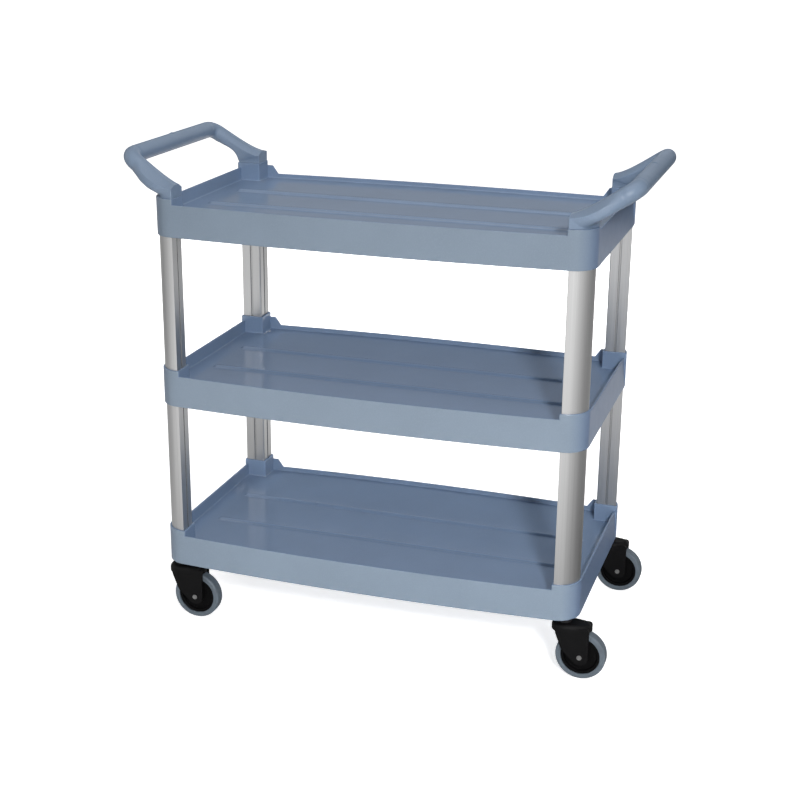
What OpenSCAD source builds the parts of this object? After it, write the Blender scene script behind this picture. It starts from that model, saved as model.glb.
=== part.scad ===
// Three-shelf tray return trolley. Millimetres, +Z up, floor at Z = 0,
// length along X, the tall front lip faces -Y, origin under the middle of the trolley.

/* [Shelves] */
// Shelf length over the corner columns
shelf_l = 850; // [820:5:880]
// Shelf width over the corner columns
col_w = 465.5; // [455:0.5:480]
// Outward bow of each long side
bow = 13.25; // [10:0.25:16]
// Outer radius of a corner column
col_r = 45.4; // [45.2:0.1:48]
// Height of the front and end walls from the lower edge of the skirt
skirt_h = 62.5; // [58:0.5:66]
// Height of the lowered back lip from the lower edge of the skirt
back_h = 45; // [42:0.5:50]
// Height of a corner column from the lower edge of the skirt
col_h = 73; // [70:0.5:78]
// Height of the deck's top face from the lower edge of the skirt
deck_z = 36; // [34:0.5:37]
// Thickness of the tray walls and deck
wall = 4; // [3.5:0.25:5]
// How far an end wall leans inwards at its top
end_lean = 4; // [2:0.5:5]
// Rise from one shelf to the next
pitch = 337; // [320:1:350]

/* [Deck ribs] */
// Distance of each lengthwise rib from the centre line
rib_y = 70; // [60:1:85]
// Width of a deck rib
rib_w = 16; // [12:1:20]
// Height of a deck rib
rib_h = 4.5; // [3:0.25:6]

/* [Uprights] */
// Radius of the quarter-round upright
post_r = 41.9; // [41.5:0.1:42]
// Wall thickness of the upright
post_t = 2.4; // [2:0.1:3]
// Width of the groove along each flat face
groove_w = 4; // [3:0.25:5]
// Depth of that groove
groove_d = 1.6; // [1:0.1:2]

/* [Handles] */
// Distance of the grip's axis beyond the end of the shelf
grip_out = 59.5; // [54:0.1:64]
// Height of the grip's axis above the corner columns
grip_h = 68; // [62:0.5:74]
// Radius of the grip
grip_r = 16.8; // [16:0.1:17.5]
// Radius of the elbows
elbow_r = 16.3; // [15.5:0.1:17]
// Bend radius of each elbow
bend_r = 23.4; // [21:0.2:27]
// How far the arms stand out from the columns' centres at the elbows
arm_out = 2.2; // [-3:0.1:4]
// Slope of the arms at the elbows
arm_slope = 33.3; // [31:0.1:36]
// Height of the handle's foot at its inner edge
foot_h = 23.5; // [21:0.5:26]

/* [Casters] */
// Wheel radius over the tyre
wheel_r = 48.4; // [45:0.2:52]
// Width of the tyre
tyre_w = 23; // [20:0.5:24]
// Thickness of the tyre's rubber around the core
tyre_t = 10.5; // [9.9:0.1:12.4]
// Distance of each swivel axis from the column's centre, along the length
stem_dx = 19.1; // [17:0.1:21]
// Distance of each swivel axis from the column's centre, across the width
stem_dy = 14.35; // [13.8:0.05:17]
// Height of the collar between each fork and the bottom shelf
collar_h = 11; // [9:0.5:14]
// Distance of the axle behind the swivel axis
trail = 34.3; // [32:0.1:35]
// Thickness of a fork leg
leg_t = 6; // [5:0.25:6.5]

/* [Hidden] */
$fn = 96;
play = 0.3;
col_x = shelf_l / 2 - col_r;
col_y = col_w / 2 - col_r;
col_s = 4;
bow_r = (col_x * col_x / bow + 2 * col_r + bow) / 2;
bow_c = bow_r - col_w / 2 - bow;
web_z = 30;
rib_r = (rib_w * rib_w / 4 + rib_h * rib_h) / (2 * rib_h);
rib_x = col_x - 12;
under_dx = shelf_l / 8.5;
under_dy = col_w / 6.65;
lip_x = col_x - 27.6;
lip_run = 13;
screw_p = 17;
screw_r = 2.3;
port_r = 2.5;
hood_h = 15;
hood_low = 2 * wheel_r + 1.2;
hood_top = hood_low + hood_h;
shelf_z = hood_top + collar_h;
top_z = shelf_z + 2 * pitch + col_h;
post_l = pitch + web_z - deck_z;
foot_r = col_r - 1.4;
foot_s = 3;
foot_x = col_x - foot_s;
toe_x = col_x + 23.4;
grip_x = shelf_l / 2 + grip_out;
grip_z = top_z + grip_h;
arm_y = col_y + arm_out;
elbow_x = grip_x - bend_r * cos(arm_slope);
elbow_z = grip_z - bend_r * sin(arm_slope);
swivel_x = col_x + stem_dx;
swivel_y = col_y + stem_dy;
hood_f = 8;
lead_r = 24.5;
rear_r = 18.5;
rear_x = 33;
hood_sin = (rear_r - lead_r) / rear_x;
hood_cos = sqrt(1 - hood_sin * hood_sin);
core_r = wheel_r - tyre_t;
leg_y = tyre_w / 2 + 1.5;
leg_r = 16.2;
shoulder_r = 4;
axle_r = 4;
stem_r = 5.5;
run = 0.05;

// Corners in the order front left, front right, back left, back right
FL = [-1, -1, 180];
FR = [1, -1, 270];
BL = [-1, 1, 90];
BR = [1, 1, 0];

module at_column(c) {
  translate([c[0] * col_x, c[1] * col_y, 0])
    rotate([0, 0, c[2]])
      children();
}

module at_swivel(c) {
  translate([c[0] * swivel_x, c[1] * swivel_y, 0])
    children();
}

// Quarter round whose straight sides start s inside its centre
module quarter(r, s) {
  intersection() {
    circle(r = r);
    square(r + 1);
  }
  if (s > 0) {
    translate([-s, -s]) square([s, r + s]);
    translate([0, -s]) square([r, s]);
  }
}

// Long side between two arcs, s = -1 in front and 1 behind
module long_band(s) {
  intersection() {
    difference() {
      translate([0, -s * bow_c]) circle(r = bow_r, $fn = 720);
      translate([0, -s * bow_c]) circle(r = bow_r - wall, $fn = 720);
    }
    translate([1 - col_x, s > 0 ? col_w / 4 : -col_w]) square([2 * col_x - 2, col_w * 3 / 4]);
  }
}

module deck_outline() {
  intersection() {
    translate([0, bow_c]) circle(r = bow_r - wall / 2, $fn = 720);
    translate([0, -bow_c]) circle(r = bow_r - wall / 2, $fn = 720);
    square([2 * col_x - 2, 2 * col_w], center = true);
  }
  square([shelf_l - end_lean - wall - 1, 2 * col_y], center = true);
}

// The outer face leans, the inner face is upright so that nothing overhangs the deck
module end_wall() {
  x0 = shelf_l / 2 - 0.2;
  rotate([90, 0, 0])
    linear_extrude(height = 2 * col_y, center = true)
      polygon([
        [x0, 0], [x0 - end_lean, skirt_h],
        [x0 - end_lean - wall, skirt_h], [x0 - end_lean - wall, 0]
      ]);
}

module deck_rib(y) {
  intersection() {
    translate([0, y, deck_z + rib_h - rib_r]) {
      rotate([0, 90, 0]) cylinder(r = rib_r, h = 2 * rib_x, center = true);
      translate([rib_x, 0, 0]) sphere(r = rib_r);
      translate([-rib_x, 0, 0]) sphere(r = rib_r);
    }
    translate([-shelf_l / 2, y - rib_w, deck_z - 1]) cube([shelf_l, 2 * rib_w, rib_h + 2]);
  }
}

module under_ribs() {
  translate([0, 0, deck_z - wall - 10])
    linear_extrude(height = 11)
      intersection() {
        deck_outline();
        union() {
          for (i = [-3 : 3]) translate([i * under_dx - 1.5, -col_w]) square([3, 2 * col_w]);
          for (i = [-2 : 2]) translate([-shelf_l, i * under_dy - 1.5]) square([2 * shelf_l, 3]);
        }
      }
}

// One moulded tray with its four corner sockets
module tray() {
  difference() {
    union() {
      linear_extrude(height = skirt_h) long_band(-1);
      difference() {
        linear_extrude(height = skirt_h) long_band(1);
        rotate([90, 0, 0])
          linear_extrude(height = 2 * col_w, center = true)
            polygon([
              [-lip_x, back_h], [lip_x, back_h],
              [lip_x + lip_run, skirt_h + 1], [-lip_x - lip_run, skirt_h + 1]
            ]);
      }
      end_wall();
      mirror([1, 0, 0]) end_wall();
      translate([0, 0, deck_z - wall]) linear_extrude(height = wall) deck_outline();
      deck_rib(rib_y);
      deck_rib(-rib_y);
      under_ribs();
      for (c = [FL, FR, BL, BR])
        at_column(c) linear_extrude(height = col_h) quarter(col_r, col_s);
    }
    for (c = [FL, FR, BL, BR])
      at_column(c) {
        translate([0, 0, -1]) linear_extrude(height = web_z + 1) quarter(post_r + play, play);
        translate([0, 0, deck_z]) linear_extrude(height = col_h) quarter(post_r + play, play);
        translate([screw_p, screw_p, web_z - 1]) cylinder(r = port_r + 0.2, h = 20);
        translate([screw_p, screw_p, web_z - 1]) cylinder(r = 4.8, h = 4.2);
      }
  }
}

module shelf(n) {
  color([0.46, 0.53, 0.63])
    translate([0, 0, shelf_z + n * pitch])
      tray();
}

// Extruded quarter-round section: grooved flat faces, hollow, with a screw port
module post_section() {
  difference() {
    union() {
      difference() {
        quarter(post_r, 0);
        difference() {
          intersection() {
            circle(r = post_r - post_t);
            translate([post_t, post_t]) square(post_r);
          }
          translate([post_r / 2 - groove_w / 2 - 1.5, 0]) square([groove_w + 3, post_t + groove_d]);
          translate([0, post_r / 2 - groove_w / 2 - 1.5]) square([post_t + groove_d, groove_w + 3]);
        }
      }
      translate([screw_p, screw_p]) circle(r = port_r + 2);
      rotate(45) translate([1, -1]) square([screw_p * 1.414 - 2, 2]);
    }
    translate([screw_p, screw_p]) circle(r = port_r);
    translate([post_r / 2 - groove_w / 2, -1]) square([groove_w, groove_d + 1]);
    translate([-1, post_r / 2 - groove_w / 2]) square([groove_d + 1, groove_w]);
    translate([-1, -1]) difference() {
      square(4);
      translate([4, 4]) circle(r = 3);
    }
  }
}

module upright(n, c) {
  color([0.72, 0.72, 0.71])
    at_column(c)
      translate([0, 0, shelf_z + n * pitch + deck_z])
        linear_extrude(height = post_l)
          post_section();
}

// One countersunk-in-web screw up into each upright or handle plug
module shelf_screws() {
  color([0.6, 0.6, 0.6])
    for (n = [0 : 2])
      for (c = [FL, FR, BL, BR])
        at_column(c)
          translate([screw_p, screw_p, shelf_z + n * pitch + web_z]) {
            translate([0, 0, 0.2]) cylinder(r = 4.5, h = 3);
            translate([0, 0, 3]) cylinder(r = screw_r, h = 26);
          }
}

// Quadratic curve from a to b that leaves a towards a + c
function curve(a, c, b, t) = (1 - t) * (1 - t) * a + 2 * t * (1 - t) * (a + c) + t * t * b;
function ease(t) = let (u = min(1, max(0, t))) u * u * (3 - 2 * u);
function blend(a, b, t) = a + (b - a) * t;
function unit(v) = v / norm(v);

// Closed section through the corners c, rounded to the radii r, with four points to a corner
function rounded(c, r) =
  let (
    k = len(c),
    side = [for (i = [0 : k - 1]) c[(i + 1) % k] - c[i]],
    half = [for (i = [0 : k - 1]) acos(min(1, max(-1, unit(side[(i + k - 1) % k]) * unit(side[i])))) / 2],
    want = [for (i = [0 : k - 1]) r[i] * tan(half[i])],
    fill = [for (i = [0 : k - 1]) min(1, norm(side[i]) / max(0.01, want[i] + want[(i + 1) % k]))]
  )
  [
    for (i = [0 : k - 1])
      let (
        back = (i + k - 1) % k,
        step = max(0.6, 0.998 * want[i] * min(fill[i], fill[back])),
        a = c[i] - unit(side[back]) * step,
        b = c[i] + unit(side[i]) * step
      )
      for (t = [0, 1 / 3, 2 / 3, 1])
        let (w = 2 * cos(half[i]) * t * (1 - t))
        ((1 - t) * (1 - t) * a + w * c[i] + t * t * b) / ((1 - t) * (1 - t) + w + t * t)
  ];

// The arm's section at t, from the foot at 0 to the round elbow at 1
function arm_section(t) =
  let (
    e = [elbow_x, elbow_z],
    u = [-sin(arm_slope), cos(arm_slope)] * elbow_r,
    q = tan(22.5),
    crest = curve([foot_x, top_z + foot_h], [20, 3.5], e + u, t),
    crease = curve([foot_x, top_z + foot_h - 4], [41, 1.5], e + q * u, t),
    ridge = curve([foot_x, top_z + foot_h - 8], [21, 2], e + q * u, t),
    toe = curve([toe_x, top_z + 1], [8, 3], e - u, t),
    heel = curve([col_x + foot_r, top_z + 1], [8, 34], e - u, t),
    y0 = col_y - foot_s,
    y1 = col_y + foot_r,
    inner = blend(y0, arm_y - elbow_r, pow(t, 0.65)),
    outer = blend(y1, arm_y + elbow_r, pow(t, 3.5)),
    near = ease((t - 0.72) / 0.28),
    crown = blend(1, elbow_r, ease(t / 0.6)),
    edge = blend(2, elbow_r, near)
  )
  rounded(
    [
      [crest[0], blend(y0 + 13, arm_y - q * elbow_r, t), crest[1]],
      [crest[0], blend(y1 - 16, arm_y + q * elbow_r, t), crest[1]],
      [crease[0], outer, crease[1]],
      [toe[0], outer - 6 * (1 - ease(t / 0.5)), toe[1]],
      [heel[0], inner, heel[1]],
      [ridge[0], inner, ridge[1]]
    ],
    [
      crown, crown, edge,
      blend(blend(26, 8, ease(t / 0.6)), elbow_r, near),
      blend(blend(2, 7, ease(t / 0.5)), elbow_r, near),
      edge
    ]
  );

// Foot outline on top of the column
function foot_section() =
  rounded(
    [
      [foot_x, col_y - foot_s + 13, top_z], [foot_x, col_y + foot_r - 16, top_z],
      [foot_x, col_y + foot_r, top_z], [toe_x, col_y + foot_r - 6, top_z],
      [col_x + foot_r, col_y - foot_s, top_z], [foot_x, col_y - foot_s, top_z]
    ],
    [1, 1, 2, 26, 2, 2]
  );

// Point p carried round the elbow by the angle a
function turned(p, a) =
  let (
    c = [elbow_x, arm_y - bend_r, elbow_z],
    along = [cos(arm_slope), 0, sin(arm_slope)],
    up = [-sin(arm_slope), 0, cos(arm_slope)],
    f = (p - c) * along,
    y = p[1] - c[1]
  )
  c + (y * sin(a) + f * cos(a)) * along + ((p - c) * up) * up + [0, y * cos(a) - f * sin(a), 0];

// Handle body swept from one foot to the other
module handle_body() {
  elbow = arm_section(1);
  centre = [grip_x, arm_y - bend_r, grip_z];
  mouth = [for (p = elbow) turned(p, 90)];
  half = [
    foot_section(),
    for (i = [0 : 8]) arm_section(i / 8),
    for (i = [1 : 5]) [for (p = elbow) turned(p, 18 * i)],
    [for (p = mouth) [0, -5, 0] + centre + (p - centre) * grip_r / elbow_r]
  ];
  m = len(half);
  n = len(elbow);
  rings = [
    for (r = half) r,
    for (i = [m - 1 : -1 : 0]) [for (p = half[i]) [p[0], -p[1], p[2]]]
  ];
  polyhedron(
    points = [for (r = rings) for (p = r) p],
    faces = [
      [for (j = [n - 1 : -1 : 0]) j],
      [for (j = [0 : n - 1]) (2 * m - 1) * n + j],
      for (i = [0 : 2 * m - 2])
        for (j = [0 : n - 1])
          let (a = i * n + j, b = i * n + (j + 1) % n)
            for (f = [[a, b + n, a + n], [a, b, b + n]])
              f
    ]
  );
}

// Plug of one foot, screwed down in the column's upper pocket
module handle_plug() {
  translate([col_x, col_y, top_z - col_h + deck_z])
    difference() {
      translate([0, 0, play]) linear_extrude(height = col_h - deck_z + 0.3) quarter(post_r, 0);
      translate([screw_p, screw_p, -1]) cylinder(r = port_r, h = 30, $fn = 32);
    }
}

module handle(s) {
  color([0.44, 0.51, 0.61])
    mirror([s < 0 ? 1 : 0, 0, 0]) {
      handle_body();
      handle_plug();
      mirror([0, 1, 0]) handle_plug();
      translate([grip_x, 0, grip_z + grip_r - 6.8]) sphere(r = 8.5, $fn = 24);
    }
}

// Quarter-round plug pressed into the bottom tray's socket, with a collar above the fork
module plug(c) {
  color([0.12, 0.12, 0.13])
    difference() {
      union() {
        at_column(c)
          translate([0, 0, shelf_z])
            linear_extrude(height = web_z - play)
              difference() {
                quarter(post_r, 0);
                translate([-1, -1]) difference() {
                  square(4);
                  translate([4, 4]) circle(r = 3);
                }
              }
        at_swivel(c) translate([0, 0, hood_top + play]) cylinder(r = 13.5, h = shelf_z - hood_top);
      }
      at_swivel(c) translate([0, 0, hood_top - 1]) cylinder(r = stem_r + run, h = shelf_z - hood_top + 26);
    }
}

// Steel swivel stem: pressed into the plug, with a head below the fork's boss
module stem(c) {
  color([0.6, 0.6, 0.6])
    at_swivel(c) {
      translate([0, 0, hood_top - 9.5]) cylinder(r = stem_r, h = shelf_z + 24 - hood_top + 9.5);
      translate([0, 0, hood_top - 11]) cylinder(r = 9, h = 3.7);
    }
}

// Egg-shaped outline of the fork's hood, g smaller all round
module hood_outline(g) {
  a = lead_r - g;
  b = rear_r - g;
  circle(r = a);
  translate([rear_x, 0]) circle(r = b);
  polygon([
    [-a * hood_sin, a * hood_cos], [rear_x - b * hood_sin, b * hood_cos],
    [rear_x - b * hood_sin, -b * hood_cos], [-a * hood_sin, -a * hood_cos]
  ]);
}

// One lump of the hood: a disc with a rounded upper edge
module hood_lump(x, r) {
  translate([x, 0, hood_low])
    rotate_extrude($fn = 48) {
      square([r - hood_f, hood_h]);
      square([r, hood_h - hood_f]);
      translate([r - hood_f, hood_h - hood_f])
        intersection() {
          circle(r = hood_f, $fn = 24);
          square(hood_f);
        }
    }
}

// Leg seen from the side: rounded upper rear corner, upright rear edge, sloping front edge
module leg_outline() {
  rear = trail + leg_r;
  translate([trail, wheel_r]) circle(r = leg_r);
  translate([rear - 6, hood_top - 10]) circle(r = 6);
  polygon([
    [9.5 - lead_r, hood_low + 6], [9.5 - lead_r, hood_low], [11 - lead_r, hood_low - 6],
    [-6.3, wheel_r + 24.5], [-0.5, wheel_r + 12], [8, wheel_r + 3],
    [trail - 0.707 * leg_r, wheel_r - 0.707 * leg_r], [trail, wheel_r], [rear, wheel_r],
    [rear, hood_top - 10], [rear - 6, hood_top - 4], [rear - 26, hood_top - 4], [0, hood_low + 6]
  ]);
}

// Moulded fork: hollow hood with a swivel boss and two legs
module fork(c) {
  color([0.1, 0.1, 0.105])
    at_swivel(c)
      difference() {
        union() {
          difference() {
            hull() {
              hood_lump(0, lead_r);
              hood_lump(rear_x, rear_r);
            }
            translate([0, 0, hood_low - 1]) linear_extrude(height = hood_h - 6) hood_outline(3.2);
          }
          for (s = [-1, 1])
            translate([0, s * (leg_y + leg_t / 2), 0])
              rotate([90, 0, 0])
                linear_extrude(height = leg_t, center = true)
                  leg_outline();
        }
        translate([0, 0, hood_low - 1]) cylinder(r = stem_r + run, h = hood_h + 2);
        translate([0, 0, hood_low - 1]) cylinder(r = 9.5, h = hood_top - hood_low - 6);
        translate([trail, 0, wheel_r])
          rotate([90, 0, 0])
            cylinder(r = axle_r + run, h = 80, center = true);
      }
}

// Riveted axle with a head outside each leg
module axle(c) {
  color([0.7, 0.7, 0.7])
    at_swivel(c)
      translate([trail, 0, wheel_r])
        rotate([90, 0, 0]) {
          cylinder(r = axle_r, h = 2 * (leg_y + leg_t), center = true);
          for (s = [-1, 1])
            translate([0, 0, s * (leg_y + leg_t + 0.8)])
              difference() {
                cylinder(r = 4.9, h = 1.6, center = true);
                translate([0, 0, s * 0.8]) cylinder(r = 2, h = 1.4, center = true);
              }
        }
}

module wheel_core(c) {
  color([0.09, 0.09, 0.095])
    at_swivel(c)
      translate([trail, 0, wheel_r])
        rotate([90, 0, 0])
          rotate_extrude()
            polygon([
              [axle_r + run, -leg_y + 0.4], [12, -leg_y + 0.4], [13, -5], [core_r - 7, -4],
              [core_r - 5, -tyre_w / 2 + 2], [core_r, -tyre_w / 2 + 2],
              [core_r, tyre_w / 2 - 2], [core_r - 5, tyre_w / 2 - 2],
              [core_r - 7, 4], [13, 5], [12, leg_y - 0.4], [axle_r + run, leg_y - 0.4]
            ]);
}

module tyre(c) {
  color([0.42, 0.46, 0.51])
    at_swivel(c)
      translate([trail, 0, wheel_r])
        rotate([90, 0, 0])
          rotate_extrude() {
            translate([core_r + 0.1, -tyre_w / 2]) square([wheel_r - core_r - 0.1 - shoulder_r, tyre_w]);
            translate([wheel_r - shoulder_r, shoulder_r - tyre_w / 2])
              square([shoulder_r, tyre_w - 2 * shoulder_r]);
            for (s = [-1, 1])
              translate([wheel_r - shoulder_r, s * (tyre_w / 2 - shoulder_r)])
                intersection() {
                  circle(r = shoulder_r);
                  translate([0, s > 0 ? 0 : -shoulder_r]) square(shoulder_r);
                }
          }
}

shelf(0);  // shelf_bottom
shelf(1);  // shelf_middle
shelf(2);  // shelf_top
upright(0, FL);  // upright_lower_fl
upright(0, FR);  // upright_lower_fr
upright(0, BL);  // upright_lower_bl
upright(0, BR);  // upright_lower_br
upright(1, FL);  // upright_upper_fl
upright(1, FR);  // upright_upper_fr
upright(1, BL);  // upright_upper_bl
upright(1, BR);  // upright_upper_br
shelf_screws();
handle(-1);  // handle_left
handle(1);  // handle_right
plug(FL);  // plug_fl
plug(FR);  // plug_fr
plug(BL);  // plug_bl
plug(BR);  // plug_br
stem(FL);  // stem_fl
stem(FR);  // stem_fr
stem(BL);  // stem_bl
stem(BR);  // stem_br
fork(FL);  // fork_fl
fork(FR);  // fork_fr
fork(BL);  // fork_bl
fork(BR);  // fork_br
axle(FL);  // axle_fl
axle(FR);  // axle_fr
axle(BL);  // axle_bl
axle(BR);  // axle_br
wheel_core(FL);  // wheel_core_fl
wheel_core(FR);  // wheel_core_fr
wheel_core(BL);  // wheel_core_bl
wheel_core(BR);  // wheel_core_br
tyre(FL);  // tyre_fl
tyre(FR);  // tyre_fr
tyre(BL);  // tyre_bl
tyre(BR);  // tyre_br
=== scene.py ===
import math

import bmesh
import bpy
import numpy as np
from mathutils import Matrix, Vector


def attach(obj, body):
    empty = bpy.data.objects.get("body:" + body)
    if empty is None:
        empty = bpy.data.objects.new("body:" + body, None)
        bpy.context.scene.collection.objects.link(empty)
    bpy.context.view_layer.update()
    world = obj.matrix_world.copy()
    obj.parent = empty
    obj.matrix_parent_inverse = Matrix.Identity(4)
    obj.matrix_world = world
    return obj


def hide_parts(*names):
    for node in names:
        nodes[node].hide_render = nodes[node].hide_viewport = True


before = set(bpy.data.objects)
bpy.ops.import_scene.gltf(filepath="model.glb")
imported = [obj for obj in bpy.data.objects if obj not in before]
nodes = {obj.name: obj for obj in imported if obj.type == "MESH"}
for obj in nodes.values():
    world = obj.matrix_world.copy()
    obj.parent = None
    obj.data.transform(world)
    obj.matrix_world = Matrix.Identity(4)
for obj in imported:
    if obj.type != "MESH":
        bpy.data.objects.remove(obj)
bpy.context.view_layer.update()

scene = bpy.context.scene
CORNERS = ("fl", "fr", "bl", "br")
WELD = 0.00002  # metres within which a CAD mesh's points are joined


# Materials

def linear(r, g, b):
    """sRGB values of 0 to 255 as a linear colour."""
    out = []
    for v in (r, g, b):
        v = v / 255
        out.append(v / 12.92 if v <= 0.04045 else ((v + 0.055) / 1.055) ** 2.4)
    return (*out, 1.0)


def grey(v):
    return linear(v, v, v)


def scaled(shade, factor, lift=0.0):
    """A linear colour made darker or paler."""
    return (*(min(1.0, v * factor + lift) for v in shade[:3]), 1.0)


def set_range(node, numbers):
    """Gives a Map Range node the range it takes in and the range it puts out."""
    for key, v in zip(("From Min", "From Max", "To Min", "To Max"), numbers):
        node.inputs[key].default_value = v


class Mat:
    """A material with one Principled shader and short ways to add nodes."""

    def __init__(self, name, metallic=0.0, specular=0.5):
        self.material = bpy.data.materials.new(name)
        self.material.use_nodes = True
        self.tree = self.material.node_tree
        self.tree.nodes.clear()
        self.out = self.tree.nodes.new("ShaderNodeOutputMaterial")
        self.shader = self.tree.nodes.new("ShaderNodeBsdfPrincipled")
        self.shader.inputs["Metallic"].default_value = metallic
        self.shader.inputs["Specular IOR Level"].default_value = specular
        self.tree.links.new(self.shader.outputs["BSDF"], self.out.inputs["Surface"])
        self.coord = self.tree.nodes.new("ShaderNodeTexCoord")

    def link(self, a, b):
        self.tree.links.new(a, b)

    def mapped(self, scale):
        n = self.tree.nodes.new("ShaderNodeMapping")
        n.inputs["Scale"].default_value = scale
        self.link(self.coord.outputs["Object"], n.inputs["Vector"])
        return n.outputs["Vector"]

    def noise(self, scale, detail=2.0, rough=0.5, vector=None):
        n = self.tree.nodes.new("ShaderNodeTexNoise")
        n.inputs["Scale"].default_value = scale
        n.inputs["Detail"].default_value = detail
        n.inputs["Roughness"].default_value = rough
        self.link(vector or self.coord.outputs["Object"], n.inputs["Vector"])
        return n.outputs["Fac"]

    def span(self, value, lo, hi, a=0.3, b=0.7):
        """Takes a to b, for a noise its usual range, onto lo to hi and stays within them."""
        n = self.tree.nodes.new("ShaderNodeMapRange")
        set_range(n, (a, b, lo, hi))
        self.link(value, n.inputs["Value"])
        return n.outputs["Result"]

    def mix(self, fac, a, b):
        n = self.tree.nodes.new("ShaderNodeMix")
        n.data_type = "RGBA"
        for socket, v in ((n.inputs[0], fac), (n.inputs[6], a), (n.inputs[7], b)):
            if isinstance(v, tuple):
                socket.default_value = v
            else:
                self.link(v, socket)
        return n.outputs[2]

    def math(self, op, a, b=0.0):
        n = self.tree.nodes.new("ShaderNodeMath")
        n.operation = op
        for socket, v in ((n.inputs[0], a), (n.inputs[1], b)):
            if isinstance(v, (float, int)):
                socket.default_value = v
            else:
                self.link(v, socket)
        return n.outputs[0]

    def times(self, *values):
        total = values[0]
        for v in values[1:]:
            total = self.math("MULTIPLY", total, v)
        return total

    def split(self, kind):
        """The x, y and z of a texture coordinate."""
        n = self.tree.nodes.new("ShaderNodeSeparateXYZ")
        self.link(self.coord.outputs[kind], n.inputs[0])
        return n.outputs

    def outer(self):
        """How far the surface faces outwards, and how far it belongs to a long side there; these
        masks place the painted sheen and painted shade of a tray's outer faces, and their extra
        roughness.
        """
        normal, place = self.split("Normal"), self.split("Object")
        away_x, away_y = (self.times(normal[k], self.math("SIGN", place[k])) for k in (0, 1))
        outside = self.span(self.math("MAXIMUM", away_y, away_x), 0.0, 1.0, 0.4, 0.68)
        return outside, self.span(away_y, 0.0, 1.0, 0.25, 0.95)

    def colour(self, value):
        self.link(value, self.shader.inputs["Base Color"])

    def rough(self, value):
        self.link(value, self.shader.inputs["Roughness"])

    def bump(self, height, strength, distance):
        n = self.tree.nodes.new("ShaderNodeBump")
        n.inputs["Strength"].default_value = strength
        n.inputs["Distance"].default_value = distance
        self.link(height, n.inputs["Height"])
        self.link(n.outputs["Normal"], self.shader.inputs["Normal"])


MOULD_ROUGH = 0.16  # how much rougher a tray's outer sides are than the rest of it


def plastic(name, shade, gloss, specular, depth, grain=1100, sides=None):
    """Moulded plastic: cloudy colour, a fine spark texture and an uneven gloss.

    gloss is the range of the roughness; depth and grain are those of the texture.
    sides are the colours of a tray's outer long sides and ends: the deck's blue with a painted
    sheen on the long sides and painted shade on the ends. Those faces are also rougher.
    """
    m = Mat(name, specular=specular)
    cloud = m.span(m.noise(7.0, 3.0, 0.55), 0.0, 1.0)
    fleck = m.span(m.noise(420.0, 1.0), 0.0, 0.5, 0.45, 0.75)

    def clouded_tone(c):
        body = m.mix(cloud, scaled(c, 0.955), scaled(c, 1.045))
        return m.mix(fleck, body, scaled(c, 1.10, 0.001))

    tone = clouded_tone(shade)
    rough = m.span(m.noise(38.0, 4.0, 0.6), *gloss)
    if sides:
        outside, long_side = m.outer()
        # Painted light: the outer long sides take a greyer blue as a painted sheen, and the outer
        # ends a darker blue as painted shade.
        tone = m.mix(outside, tone, m.mix(long_side, clouded_tone(sides[1]), clouded_tone(sides[0])))
        rough = m.math("ADD", rough, m.times(outside, MOULD_ROUGH))
    m.colour(tone)
    m.rough(rough)
    m.bump(m.noise(grain, 2.0, 0.6), 0.35, depth)
    return m.material


def aluminium(name):
    """Satin anodised extrusion: fine drawn lines along its length, and painted shade darkening
    its grooves.
    """
    m = Mat(name, metallic=1.0)
    drawn = m.noise(1.0, 4.0, 0.65, m.mapped((900.0, 900.0, 1.6)))
    broad = m.noise(1.0, 2.0, 0.5, m.mapped((160.0, 160.0, 0.9)))
    clean = m.mix(m.span(drawn, 0.0, 1.0, 0.25, 0.75), grey(184), grey(196))
    # Painted shade: an occlusion mask darkens the colour in the extrusion's grooves and recesses,
    # where shade falls.
    groove_occlusion = m.tree.nodes.new("ShaderNodeAmbientOcclusion")
    groove_occlusion.samples = 8
    groove_occlusion.only_local = True
    groove_occlusion.inputs["Distance"].default_value = 0.006
    unshaded = m.span(groove_occlusion.outputs["AO"], 0.0, 1.0, 0.4, 0.9)
    m.colour(m.mix(unshaded, linear(84, 84, 85), clean))
    m.rough(m.span(broad, 0.36, 0.45))
    m.bump(drawn, 0.10, 0.00003)
    return m.material


def steel(name, gloss, shade):
    """Zinc-plated steel, slightly mottled."""
    m = Mat(name, metallic=1.0)
    cloud = m.span(m.noise(260.0, 4.0, 0.6), 0.0, 1.0)
    m.colour(m.mix(cloud, grey(shade - 14), grey(shade + 14)))
    m.rough(m.span(m.noise(620.0, 2.0), *gloss))
    m.bump(m.noise(1500.0, 2.0), 0.2, 0.00005)
    return m.material


def rubber(name, shade):
    """Grey non-marking tyre: dusty and matt, with a fine grain."""
    m = Mat(name, specular=0.35)
    cloud = m.span(m.noise(55.0, 4.0, 0.6), 0.0, 1.0)
    m.colour(m.mix(cloud, scaled(shade, 0.86), scaled(shade, 1.10)))
    m.rough(m.span(m.noise(210.0, 3.0), 0.5, 0.68))
    m.bump(m.noise(900.0, 3.0, 0.7), 0.4, 0.0002)
    return m.material


DECK_BLUE = linear(119, 139, 166)
# The deck's blue with light painted in: a painted sheen makes the long sides greyer, and painted
# shade makes the ends darker and deeper.
SIDE_SHEEN_BLUE = linear(125, 140, 156)
END_SHADE_BLUE = linear(102, 122, 153)
HANDLE_BLUE = linear(120, 138, 161)
BLACK_DEPTH, BLACK_GRAIN = 0.0001, 1500

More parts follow.
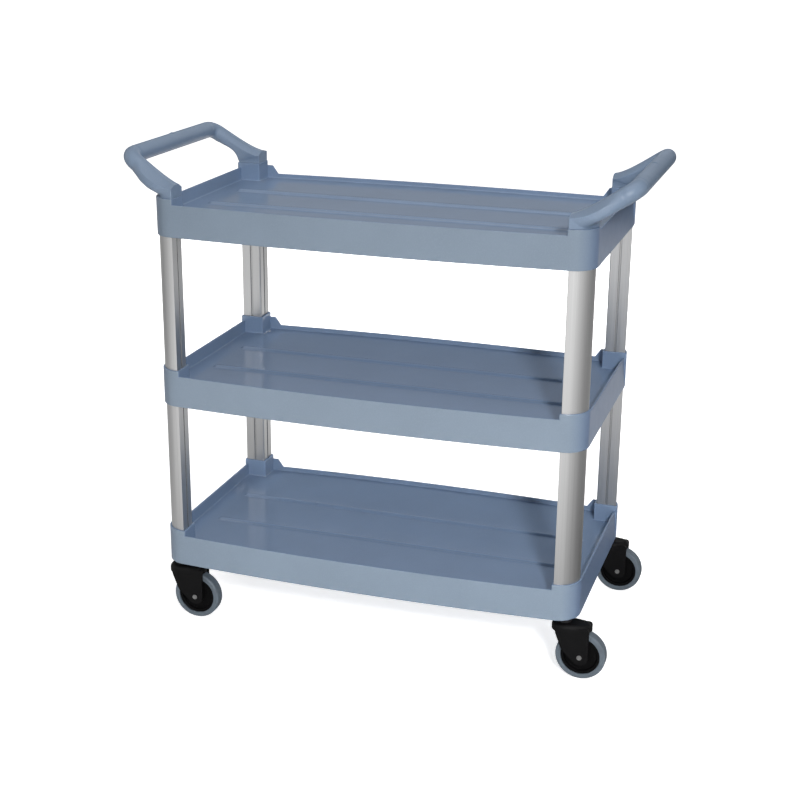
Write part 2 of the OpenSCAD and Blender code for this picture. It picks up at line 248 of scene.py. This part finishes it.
tray_plastic = plastic(
    "tray_plastic", DECK_BLUE, (0.13, 0.18), 0.5, 0.00002, sides=(SIDE_SHEEN_BLUE, END_SHADE_BLUE)
)
handle_plastic = plastic("handle_plastic", HANDLE_BLUE, (0.38, 0.46), 0.5, 0.000015)
fork_plastic = plastic(
    "fork_plastic", linear(14, 14, 15), (0.44, 0.56), 0.1, BLACK_DEPTH, BLACK_GRAIN
)
core_plastic = plastic(
    "core_plastic", linear(7, 7, 8), (0.5, 0.62), 0.08, BLACK_DEPTH, BLACK_GRAIN
)
plug_plastic = plastic(
    "plug_plastic", linear(26, 26, 28), (0.45, 0.55), 0.3, BLACK_DEPTH, BLACK_GRAIN
)
post_alu = aluminium("upright_aluminium")
rivet_steel = steel("axle_steel", (0.34, 0.44), 168)
stem_steel = steel("stem_steel", (0.22, 0.36), 192)
tyre_rubber = rubber("tyre_rubber", linear(91, 101, 110))


# CAD nodes, dressed by modifiers

FLAT_ANGLE, SHARP_ANGLE, BEVEL_STEPS = math.radians(0.15), math.radians(30.0), 3


def weigh_normals(o):
    n = o.modifiers.new("normals", "WEIGHTED_NORMAL")
    n.keep_sharp = True


def dress(node, mat, bevel=0.0):
    """Gives a CAD node its material and rounds its sharp edges; bevel is in metres."""
    o = nodes[node]
    o.data.materials.clear()
    o.data.materials.append(mat)
    w = o.modifiers.new("weld", "WELD")
    w.merge_threshold = WELD
    d = o.modifiers.new("flat", "DECIMATE")
    d.decimate_type = "DISSOLVE"
    d.angle_limit = FLAT_ANGLE
    if bevel:
        b = o.modifiers.new("edges", "BEVEL")
        b.width = bevel
        b.segments = BEVEL_STEPS
        b.limit_method = "ANGLE"
        b.angle_limit = SHARP_ANGLE
        b.miter_outer = "MITER_ARC"
    weigh_normals(o)


for c in CORNERS:
    dress("upright_lower_" + c, post_alu, bevel=0.0006)
    dress("upright_upper_" + c, post_alu, bevel=0.0006)
    dress("plug_" + c, plug_plastic, bevel=0.0006)
    dress("stem_" + c, stem_steel, bevel=0.0004)
    dress("fork_" + c, fork_plastic, bevel=0.0012)
    dress("axle_" + c, rivet_steel, bevel=0.0008)
    dress("wheel_core_" + c, core_plastic, bevel=0.0007)
    dress("tyre_" + c, tyre_rubber)
dress("shelf_screws", stem_steel, bevel=0.0003)


# Trays, made from the CAD meshes, with sizes in millimetres

COL_X, COL_Y, TOP_Z = 379.6, 187.35, 871.0  # inner corner and top of the sockets
POCKET_R, POCKET_SLACK = 42.6, 0.6
DECK = {"bottom": 160.0, "middle": 497.0, "top": 834.0}
DECK_SLACK = 0.4
CUT_IN = 17.0  # from a socket's inner corner to the seams across it
DECK_FILLET, RIM_FILLET, FILLET_STEPS = 2.6, 1.3, 3
INWARD, OUTWARD, CREASE = (-120, -50), (40, 120), 38  # by how many degrees edges turn
LEVEL, STEEP = 0.999, 0.9  # least z of a level face's normal and of a steep edge's direction
TALL_EDGE, SHORT_EDGE = 0.006, 0.0007  # in metres
TRAY_FLAT = math.radians(0.3)


def in_pocket(p):
    """Whether a point in millimetres lies in one of the four sockets."""
    x, y = abs(p[0]) - COL_X, abs(p[1]) - COL_Y
    return x > -POCKET_SLACK and y > -POCKET_SLACK and math.hypot(x, y) < POCKET_R


def round_edges(bm, edges, width):
    if edges:
        bmesh.ops.bevel(
            bm, geom=edges, offset=width / 1000, offset_type="OFFSET", segments=FILLET_STEPS,
            profile=0.5, affect="EDGES", clamp_overlap=False, miter_outer="ARC",
        )


def open_rings(bm):
    """Cuts the level faces along seams, so that none is left with a hole in it."""
    cuts = [(0, 0.0), (1, 0.0)]
    cuts += [(0, s * (COL_X + CUT_IN)) for s in (-1, 1)]
    cuts += [(1, s * (COL_Y + CUT_IN)) for s in (-1, 1)]
    for axis, at in cuts:
        place, normal = Vector((0, 0, 0)), Vector((0, 0, 0))
        place[axis], normal[axis] = at / 1000, 1
        level = [f for f in bm.faces if abs(f.normal.z) > LEVEL]
        geom = list(dict.fromkeys(x for f in level for x in (*f.verts, *f.edges, f)))
        cut = bmesh.ops.bisect_plane(
            bm, geom=geom, dist=0.000002, plane_co=place, plane_no=normal
        )
        for e in cut["geom_cut"]:
            if isinstance(e, bmesh.types.BMEdge):
                e.seam = True


def turns(bm, limits):
    """The edges outside the sockets that turn within the limits, with their middles."""
    lo, hi = limits
    out = []
    for e in bm.edges:
        if len(e.link_faces) == 2 and lo < math.degrees(e.calc_face_angle_signed()) < hi:
            mid = (e.verts[0].co + e.verts[1].co) * 500
            if not in_pocket(mid):
                out.append((e, mid))
    return out


def is_steep(e):
    d = e.verts[0].co - e.verts[1].co
    return abs(d.z) > STEEP * d.length and abs(d.z) > TALL_EDGE


def as_object(bm, name, mat):
    me = bpy.data.meshes.new(name)
    bm.to_mesh(me)
    bm.free()
    o = bpy.data.objects.new(name, me)
    scene.collection.objects.link(o)
    me.materials.append(mat)
    return o


def make_tray(name):
    """The moulded tray with rounded rims, column edges and deck corners."""
    src = nodes["shelf_" + name]
    bm = bmesh.new()
    bm.from_mesh(src.data)
    bm.transform(src.matrix_world)
    bmesh.ops.remove_doubles(bm, verts=bm.verts, dist=WELD)
    open_rings(bm)
    bmesh.ops.dissolve_limit(
        bm, angle_limit=TRAY_FLAT, verts=bm.verts, edges=bm.edges, delimit={"SEAM"}
    )
    lo = [min(v.co[k] for v in bm.verts) for k in range(3)]
    hi = [max(v.co[k] for v in bm.verts) for k in range(3)]
    inner = [e for e, mid in turns(bm, INWARD) if abs(mid.z - DECK[name]) < DECK_SLACK]
    inner += [e for e, _ in turns(bm, OUTWARD) if is_steep(e)]
    round_edges(bm, inner, DECK_FILLET)
    rim = [e for e, _ in turns(bm, OUTWARD) if e.calc_length() > SHORT_EDGE]
    round_edges(bm, rim, RIM_FILLET)
    for v in bm.verts:
        v.co = [min(max(v.co[k], lo[k]), hi[k]) for k in range(3)]
    bmesh.ops.recalc_face_normals(bm, faces=bm.faces)
    for f in bm.faces:
        f.smooth = True
    for e in bm.edges:
        if len(e.link_faces) == 2 and abs(math.degrees(e.calc_face_angle_signed())) > CREASE:
            e.smooth = False
    o = as_object(bm, "tray_" + name, tray_plastic)
    weigh_normals(o)
    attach(o, "frame")
    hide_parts("shelf_" + name)


for name in DECK:
    make_tray(name)


# Handles, lofted as in the part's source with more rings and points, in millimetres

SHELF_L, GRIP_OUT, GRIP_H, ARM_OUT = 850.0, 59.5, 68.0, 2.2
GRIP_X, GRIP_Z, ARM_Y = SHELF_L / 2 + GRIP_OUT, TOP_Z + GRIP_H, COL_Y + ARM_OUT
ELBOW_R, GRIP_R, BEND_R, SLOPE = 16.3, 16.75, 23.4, math.radians(33.3)
ALONG = np.array([math.cos(SLOPE), 0, math.sin(SLOPE)])
UP = np.array([-math.sin(SLOPE), 0, math.cos(SLOPE)])
SIDE = np.array([0, 1.0, 0])
ELBOW = np.array([GRIP_X, ARM_Y, GRIP_Z]) - BEND_R * ALONG

# The plug in the socket: its gap, size, ring heights from TOP_Z, and points on its flat side
PLUG_GAP, PLUG_R, PLUG_LEVELS, PLUG_POINTS = 0.2, 41.5, (-36.5, -18, 0.2), (13, 24)
PLUG_EDGE = 0.5

# The foot on the socket: its overhang, size, ring heights from TOP_Z, and where the arm starts
FOOT_S, FOOT_R, FOOT_H, FOOT_LEVELS, ARM_FROM = 3.0, 44.0, 23.5, (0.3, 0.7), 1
FOOT_X, FOOT_Y0, FOOT_Y1 = COL_X - FOOT_S, COL_Y - FOOT_S, COL_Y + FOOT_R
CROWN_Y0, CROWN_Y1 = FOOT_Y0 + 13, FOOT_Y1 - 16
TOE_X, TOE_IN, HEEL_X = COL_X + 23.4, 6, COL_X + FOOT_R
CROWN_R, EDGE_R, TOE_R = 1, 2, 26

# The arm: how its lines leave the foot, its radii on the way, and where along it they change
CREST_LEAD, CREASE_LEAD, RIDGE_LEAD = (20, 3.5), (41, 1.5), (21, 2)
TOE_LEAD, HEEL_LEAD = (8, 3), (8, 34)
CREASE_DROP, RIDGE_DROP = 4, 8
INNER_POWER, OUTER_POWER = 0.65, 3.5
ARM_TOE_R, ARM_HEEL_R = 8, 7
CROWN_END, HEEL_END, ROUND_FROM = 0.6, 0.5, 0.72

# The grip: the step up to its radius, as distance past the bend and radius, and the nub
STEP = ((3.6, ELBOW_R), (4.2, ELBOW_R + 0.1), (4.7, GRIP_R - 0.1), (5.4, GRIP_R))
GRIP_FROM, GRIP_TO, GRIP_RINGS = 12, 12, 14
NUB_R, NUB_Z, NUB_FROM = 8.4, 10, 6

# The rings: how many there are, and of each corner's arc its points, share and least length
ARM_STEPS, BEND_STEPS = 48, 16
CORNER_POINTS, ARC_SHARE, LEAST_STEP = 9, 0.998, 0.05
OCTAGON = math.tan(math.radians(22.5))  # half a side of one round a circle of radius 1


def ring_of(corners, radii):
    """Points round a polygon whose corners are rounded to the radii as conic arcs."""
    c = np.array(corners, float)
    side = np.roll(c, -1, axis=0) - c
    length = np.linalg.norm(side, axis=1)
    way = side / length[:, None]
    half = np.arccos(np.clip((np.roll(way, 1, axis=0) * way).sum(axis=1), -1, 1)) / 2
    want = np.array(radii, float) * np.tan(half)
    fill = np.minimum(1, length / np.maximum(0.01, want + np.roll(want, -1)))
    pts = []
    for i in range(len(c)):
        step = max(LEAST_STEP, ARC_SHARE * want[i] * min(fill[i], fill[i - 1]))
        a, b = c[i] - way[i - 1] * step, c[i] + way[i] * step
        for j in range(CORNER_POINTS):
            t = j / (CORNER_POINTS - 1)
            w = 2 * math.cos(half[i]) * t * (1 - t)
            pts.append(((1 - t) ** 2 * a + w * c[i] + t * t * b) / ((1 - t) ** 2 + w + t * t))
    return np.array(pts)


def level_rings(outline, heights, radii):
    return [ring_of([(x, y, TOP_Z + h) for x, y in outline], radii) for h in heights]


def curve(a, lead, b, t):
    """A quadratic curve from a to b that leaves a along lead."""
    a, b = np.array(a, float), np.array(b, float)
    return (1 - t) ** 2 * a + 2 * t * (1 - t) * (a + np.array(lead, float)) + t * t * b


def ease(t):
    u = min(1.0, max(0.0, t))
    return u * u * (3 - 2 * u)


def blend(a, b, t):
    return a + (b - a) * t


def arm_ring(t):
    """The arm's section at t, from the foot at 0 to the round elbow at 1."""
    e = np.array([ELBOW[0], ELBOW[2]])
    u = np.array([-math.sin(SLOPE), math.cos(SLOPE)]) * ELBOW_R
    q = OCTAGON
    top, low = TOP_Z + FOOT_H, TOP_Z + ARM_FROM
    crest = curve((FOOT_X, top), CREST_LEAD, e + u, t)
    crease = curve((FOOT_X, top - CREASE_DROP), CREASE_LEAD, e + q * u, t)
    ridge = curve((FOOT_X, top - RIDGE_DROP), RIDGE_LEAD, e + q * u, t)
    toe = curve((TOE_X, low), TOE_LEAD, e - u, t)
    heel = curve((HEEL_X, low), HEEL_LEAD, e - u, t)
    inner = blend(FOOT_Y0, ARM_Y - ELBOW_R, t ** INNER_POWER)
    outer = blend(FOOT_Y1, ARM_Y + ELBOW_R, t ** OUTER_POWER)
    corners = [
        (crest[0], blend(CROWN_Y0, ARM_Y - q * ELBOW_R, t), crest[1]),
        (crest[0], blend(CROWN_Y1, ARM_Y + q * ELBOW_R, t), crest[1]),
        (crease[0], outer, crease[1]),
        (toe[0], outer - TOE_IN * (1 - ease(t / HEEL_END)), toe[1]),
        (heel[0], inner, heel[1]),
        (ridge[0], inner, ridge[1]),
    ]
    near = ease((t - ROUND_FROM) / (1 - ROUND_FROM))
    crown_r = blend(CROWN_R, ELBOW_R, ease(t / CROWN_END))
    edge_r = blend(EDGE_R, ELBOW_R, near)
    toe_r = blend(blend(TOE_R, ARM_TOE_R, ease(t / CROWN_END)), ELBOW_R, near)
    heel_r = blend(blend(EDGE_R, ARM_HEEL_R, ease(t / HEEL_END)), ELBOW_R, near)
    return ring_of(corners, (crown_r, crown_r, edge_r, toe_r, heel_r, edge_r))


def foot_rings():
    """Rings of the plug in the socket and of the foot on it."""
    x, y, r = COL_X + PLUG_GAP, COL_Y + PLUG_GAP, PLUG_R
    plug = [(x, y + p) for p in (*PLUG_POINTS, r)] + [(x + r, y + r), (x + r, y), (x, y)]
    foot = [(FOOT_X, CROWN_Y0), (FOOT_X, CROWN_Y1), (FOOT_X, FOOT_Y1),
            (TOE_X, FOOT_Y1 - TOE_IN), (HEEL_X, FOOT_Y0), (FOOT_X, FOOT_Y0)]
    plug_radii = (CROWN_R, CROWN_R, PLUG_EDGE, r, PLUG_EDGE, EDGE_R)
    foot_radii = (CROWN_R, CROWN_R, EDGE_R, TOE_R, EDGE_R, EDGE_R)
    return level_rings(plug, PLUG_LEVELS, plug_radii) + level_rings(foot, FOOT_LEVELS, foot_radii)


def bend_rings(last, turn):
    """The last ring swung round the turn, from the arm into the grip."""
    rel = last - turn
    side, along, up = rel @ SIDE, rel @ ALONG, rel @ UP
    rings = []
    for i in range(1, BEND_STEPS + 1):
        a = math.radians(90 * i / BEND_STEPS)
        s = side * math.cos(a) - along * math.sin(a)
        f = side * math.sin(a) + along * math.cos(a)
        rings.append(turn + np.outer(s, SIDE) + np.outer(f, ALONG) + np.outer(up, UP))
    return rings


def grip_ring(shape, centre, y):
    """The grip's section at y, with the nub on it near the middle."""
    ring = shape * GRIP_R + np.array([centre[0], y, centre[2]])
    bulb = NUB_R ** 2 - y * y - (ring[:, 0] - centre[0]) ** 2
    nub = centre[2] + NUB_Z + np.sqrt(np.maximum(bulb, 0))
    on_nub = (bulb > 0) & (ring[:, 2] > centre[2])
    ring[:, 2] = np.where(on_nub, np.maximum(ring[:, 2], nub), ring[:, 2])
    return ring


def half_rings():
    """Rings from the socket plug of the back end to the middle of the grip."""
    rings = foot_rings() + [arm_ring(i / ARM_STEPS) for i in range(ARM_STEPS + 1)]
    turn = ELBOW - BEND_R * SIDE
    rings += bend_rings(rings[-1], turn)
    centre = turn + BEND_R * ALONG
    shape = (rings[-1] - centre) / ELBOW_R
    y0 = centre[1]
    for past, r in STEP:
        rings.append(shape * r + np.array([centre[0], y0 - past, centre[2]]))
    for y in (*np.linspace(y0 - GRIP_FROM, GRIP_TO, GRIP_RINGS), *range(NUB_FROM, -1, -1)):
        rings.append(grip_ring(shape, centre, y))
    return rings


def make_handle(name, sign):
    half = half_rings()
    rings = half + [r * np.array([1, -1, 1]) for r in reversed(half[:-1])]
    bm = bmesh.new()
    rows = []
    for ring in rings:
        rows.append([bm.verts.new((x * sign / 1000, y / 1000, z / 1000)) for x, y, z in ring])
    n = len(rows[0])
    for a, b in zip(rows, rows[1:]):
        for i in range(n):
            j = (i + 1) % n
            bm.faces.new((a[i], a[j], b[j], b[i]))
    bm.faces.new(rows[0])
    bm.faces.new(rows[-1])
    bmesh.ops.remove_doubles(bm, verts=bm.verts, dist=0.000004)
    bmesh.ops.recalc_face_normals(bm, faces=bm.faces)
    for f in bm.faces:
        f.smooth = True
    o = as_object(bm, name, handle_plastic)
    s = o.modifiers.new("split", "EDGE_SPLIT")
    s.split_angle = math.radians(50)
    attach(o, "frame")
    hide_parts("handle_right" if sign > 0 else "handle_left")


make_handle("loop_handle_right", 1)
make_handle("loop_handle_left", -1)


# Stage, in metres

WHITE = (1, 1, 1, 1)
FLOOR_GREY = (0.8, 0.8, 0.8, 1)
FLOOR_FADE = (1.0, 2.6, 0.72, 1.0)  # two distances, and the floor's glow at them
STUDIO_FRONT = Vector((0.16, -0.80, 0.58)).normalized()
STUDIO_LIGHT = (-0.9, 0.9, 0.05, 0.33)  # from facing away to facing the front, dim to bright
NEAR_X, NEAR_Y = 0.75, 0.55  # half axes of the ground close to the object


def floor_corners(half, z):
    return [(-half, -half, z), (half, -half, z), (half, half, z), (-half, half, z)]


def wall_corners(half, y, low, high):
    return [(-half, y, low), (half, y, low), (half, y, high), (-half, y, high)]


def seen_ray(t):
    """1 for rays from the camera and for those that mirror or pass on what is behind."""
    path = t.nodes.new("ShaderNodeLightPath")
    total = path.outputs["Is Camera Ray"]
    for kind in ("Is Glossy Ray", "Is Transmission Ray"):
        either = t.nodes.new("ShaderNodeMath")
        either.operation = "MAXIMUM"
        t.links.new(total, either.inputs[0])
        t.links.new(path.outputs[kind], either.inputs[1])
        total = either.outputs[0]
    return total


def make_floor():
    """A pale floor that takes shadows, and glows to the camera and in reflections."""
    me = bpy.data.meshes.new("floor")
    me.from_pydata(floor_corners(half=300.0, z=0), [], [(0, 1, 2, 3)])
    o = bpy.data.objects.new("floor", me)
    scene.collection.objects.link(o)
    m = bpy.data.materials.new("floor_white")
    m.use_nodes = True
    t = m.node_tree
    t.nodes.clear()
    out = t.nodes.new("ShaderNodeOutputMaterial")
    diffuse = t.nodes.new("ShaderNodeBsdfDiffuse")
    diffuse.inputs["Color"].default_value = FLOOR_GREY
    glow = t.nodes.new("ShaderNodeEmission")
    glow.inputs["Color"].default_value = WHITE
    coord = t.nodes.new("ShaderNodeTexCoord")
    away = t.nodes.new("ShaderNodeVectorMath")
    away.operation = "LENGTH"
    t.links.new(coord.outputs["Object"], away.inputs[0])
    fade = t.nodes.new("ShaderNodeMapRange")
    set_range(fade, FLOOR_FADE)
    t.links.new(away.outputs["Value"], fade.inputs["Value"])
    t.links.new(fade.outputs["Result"], glow.inputs["Strength"])
    both = t.nodes.new("ShaderNodeAddShader")
    t.links.new(diffuse.outputs[0], both.inputs[0])
    t.links.new(glow.outputs[0], both.inputs[1])
    mix = t.nodes.new("ShaderNodeMixShader")
    t.links.new(seen_ray(t), mix.inputs[0])
    t.links.new(diffuse.outputs[0], mix.inputs[1])
    t.links.new(both.outputs[0], mix.inputs[2])
    t.links.new(mix.outputs[0], out.inputs["Surface"])
    me.materials.append(m)


def make_world():
    """A studio whose light is bright in front and dim behind, and which looks white."""
    w = bpy.data.worlds.new("studio")
    scene.world = w
    w.use_nodes = True
    t = w.node_tree
    bg = t.nodes["Background"]
    coord = t.nodes.new("ShaderNodeTexCoord")
    dot = t.nodes.new("ShaderNodeVectorMath")
    dot.operation = "DOT_PRODUCT"
    t.links.new(coord.outputs["Generated"], dot.inputs[0])
    dot.inputs[1].default_value = STUDIO_FRONT
    ramp = t.nodes.new("ShaderNodeMapRange")
    ramp.interpolation_type = "SMOOTHSTEP"
    set_range(ramp, STUDIO_LIGHT)
    t.links.new(dot.outputs["Value"], ramp.inputs["Value"])
    white = t.nodes.new("ShaderNodeMix")
    white.data_type = "FLOAT"
    white.inputs["B"].default_value = 1.0
    t.links.new(seen_ray(t), white.inputs["Factor"])
    t.links.new(ramp.outputs["Result"], white.inputs["A"])
    t.links.new(white.outputs["Result"], bg.inputs["Strength"])
    bg.inputs["Color"].default_value = WHITE


def area(name, place, aim, size, power, spread=180.0, glossy=True):
    """A lamp at place that faces aim; power is in watts, spread in degrees."""
    d = bpy.data.lights.new(name, "AREA")
    d.shape = "RECTANGLE"
    d.size, d.size_y = size
    d.energy = power
    d.spread = math.radians(spread)
    o = bpy.data.objects.new(name, d)
    scene.collection.objects.link(o)
    o.location = place
    o.rotation_euler = (Vector(aim) - Vector(place)).to_track_quat("-Z", "Y").to_euler()
    o.visible_glossy = glossy


def card(name, corners, pattern):
    """A lit card that only reflections see; pattern makes its brightness from x, y and z."""
    me = bpy.data.meshes.new(name)
    me.from_pydata(corners, [], [(0, 1, 2, 3)])
    m = Mat(name + "_glow")
    m.tree.nodes.remove(m.shader)
    glow = m.tree.nodes.new("ShaderNodeEmission")
    glow.inputs["Color"].default_value = WHITE
    m.link(glow.outputs[0], m.out.inputs["Surface"])
    m.link(pattern(m, *m.split("Object")), glow.inputs["Strength"])
    me.materials.append(m.material)
    o = bpy.data.objects.new(name, me)
    scene.collection.objects.link(o)
    o.visible_camera = False
    o.visible_diffuse = False
    o.visible_shadow = False


def floor_tone(m, x, y, _z):
    """What reflections see of the ground, a painted reflection: white, greyer at both sides, and
    dark near the object as a painted shadow, most at its back right.
    """
    wide = m.math("POWER", m.math("DIVIDE", x, NEAR_X), 2.0)
    deep = m.math("POWER", m.math("DIVIDE", y, NEAR_Y), 2.0)
    away = m.math("SQRT", m.math("ADD", wide, deep))
    ground = m.math("MAXIMUM", m.span(x, 0.5, 1.3, -2.5, -1.5), m.span(y, 0.0, 1.0, 0.2, 1.2))
    right = m.times(
        m.span(x, 0.0, 0.68, 0.5, 0.85), m.span(y, 0.0, 1.0, -2.0, 0.0),
        m.span(y, 1.0, 0.74, 1.7, 3.2),
    )
    far_right = m.span(x, 0.0, 0.3, 1.2, 2.4)
    left = m.times(m.span(x, 0.5, 0.0, -1.2, -0.8), m.span(y, 0.0, 1.0, -1.0, -0.3))
    corner = m.times(
        m.span(x, 0.0, 0.9, 0.25, 0.45), m.span(y, 0.0, 1.0, -0.05, 0.25),
        m.span(away, 1.0, 0.0, 0.9, 1.8),
    )
    tone = m.times(ground, m.span(away, 0.25, 1.0, 0.7, 2.4))
    for shade in (right, far_right, left, corner):
        tone = m.times(tone, m.math("SUBTRACT", 1.0, shade))
    return tone


def wall_tone(m, _x, _y, z):
    """Dark below, pale grey above."""
    return m.span(z, 0.02, 0.30, 0.9, 1.15)


make_floor()
make_world()
area("key", (1.75, -3.7, 2.35), (0, -0.4, -0.2), (0.4, 0.35), power=35, spread=95.0)
area("back", (-0.4, 3.4, 2.0), (0, 0, 0.4), (3.0, 2.0), power=104, glossy=False)
area("top", (0.2, -0.6, 3.2), (0, 0, 0.5), (2.0, 2.0), power=12)
area(
    "low", (0.45, -3.2, 0.22), (0.2, 0, 0.02), (1.8, 0.3), power=1.25, spread=32.0, glossy=False
)
card("floor_card", floor_corners(half=12, z=0.002), floor_tone)
card("wall_card", wall_corners(half=5, y=1.7, low=0.5, high=4.0), wall_tone)


# Camera, as solved from the photograph

YAW, PITCH, ROLL = 0.310685, 0.326896, 0.009439
CAMERA = Vector((0.88382, -2.74843, 1.42320))
SENSOR, FOCAL_PX, PHOTO_PX = 36.0, 1506.2584, 800


def make_camera():
    level = math.cos(PITCH)
    back = Vector((math.sin(YAW) * level, -math.cos(YAW) * level, math.sin(PITCH)))
    right = Vector((math.cos(YAW), math.sin(YAW), 0))
    up = back.cross(right)
    r = right * math.cos(ROLL) + up * math.sin(ROLL)
    u = up * math.cos(ROLL) - right * math.sin(ROLL)
    d = bpy.data.cameras.new("camera")
    d.sensor_width = SENSOR
    d.lens = FOCAL_PX * SENSOR / PHOTO_PX
    o = bpy.data.objects.new("camera", d)
    scene.collection.objects.link(o)
    m = Matrix((r, u, back)).transposed().to_4x4()
    m.translation = CAMERA
    o.matrix_world = m
    scene.camera = o


make_camera()
scene.view_settings.view_transform = "Standard"
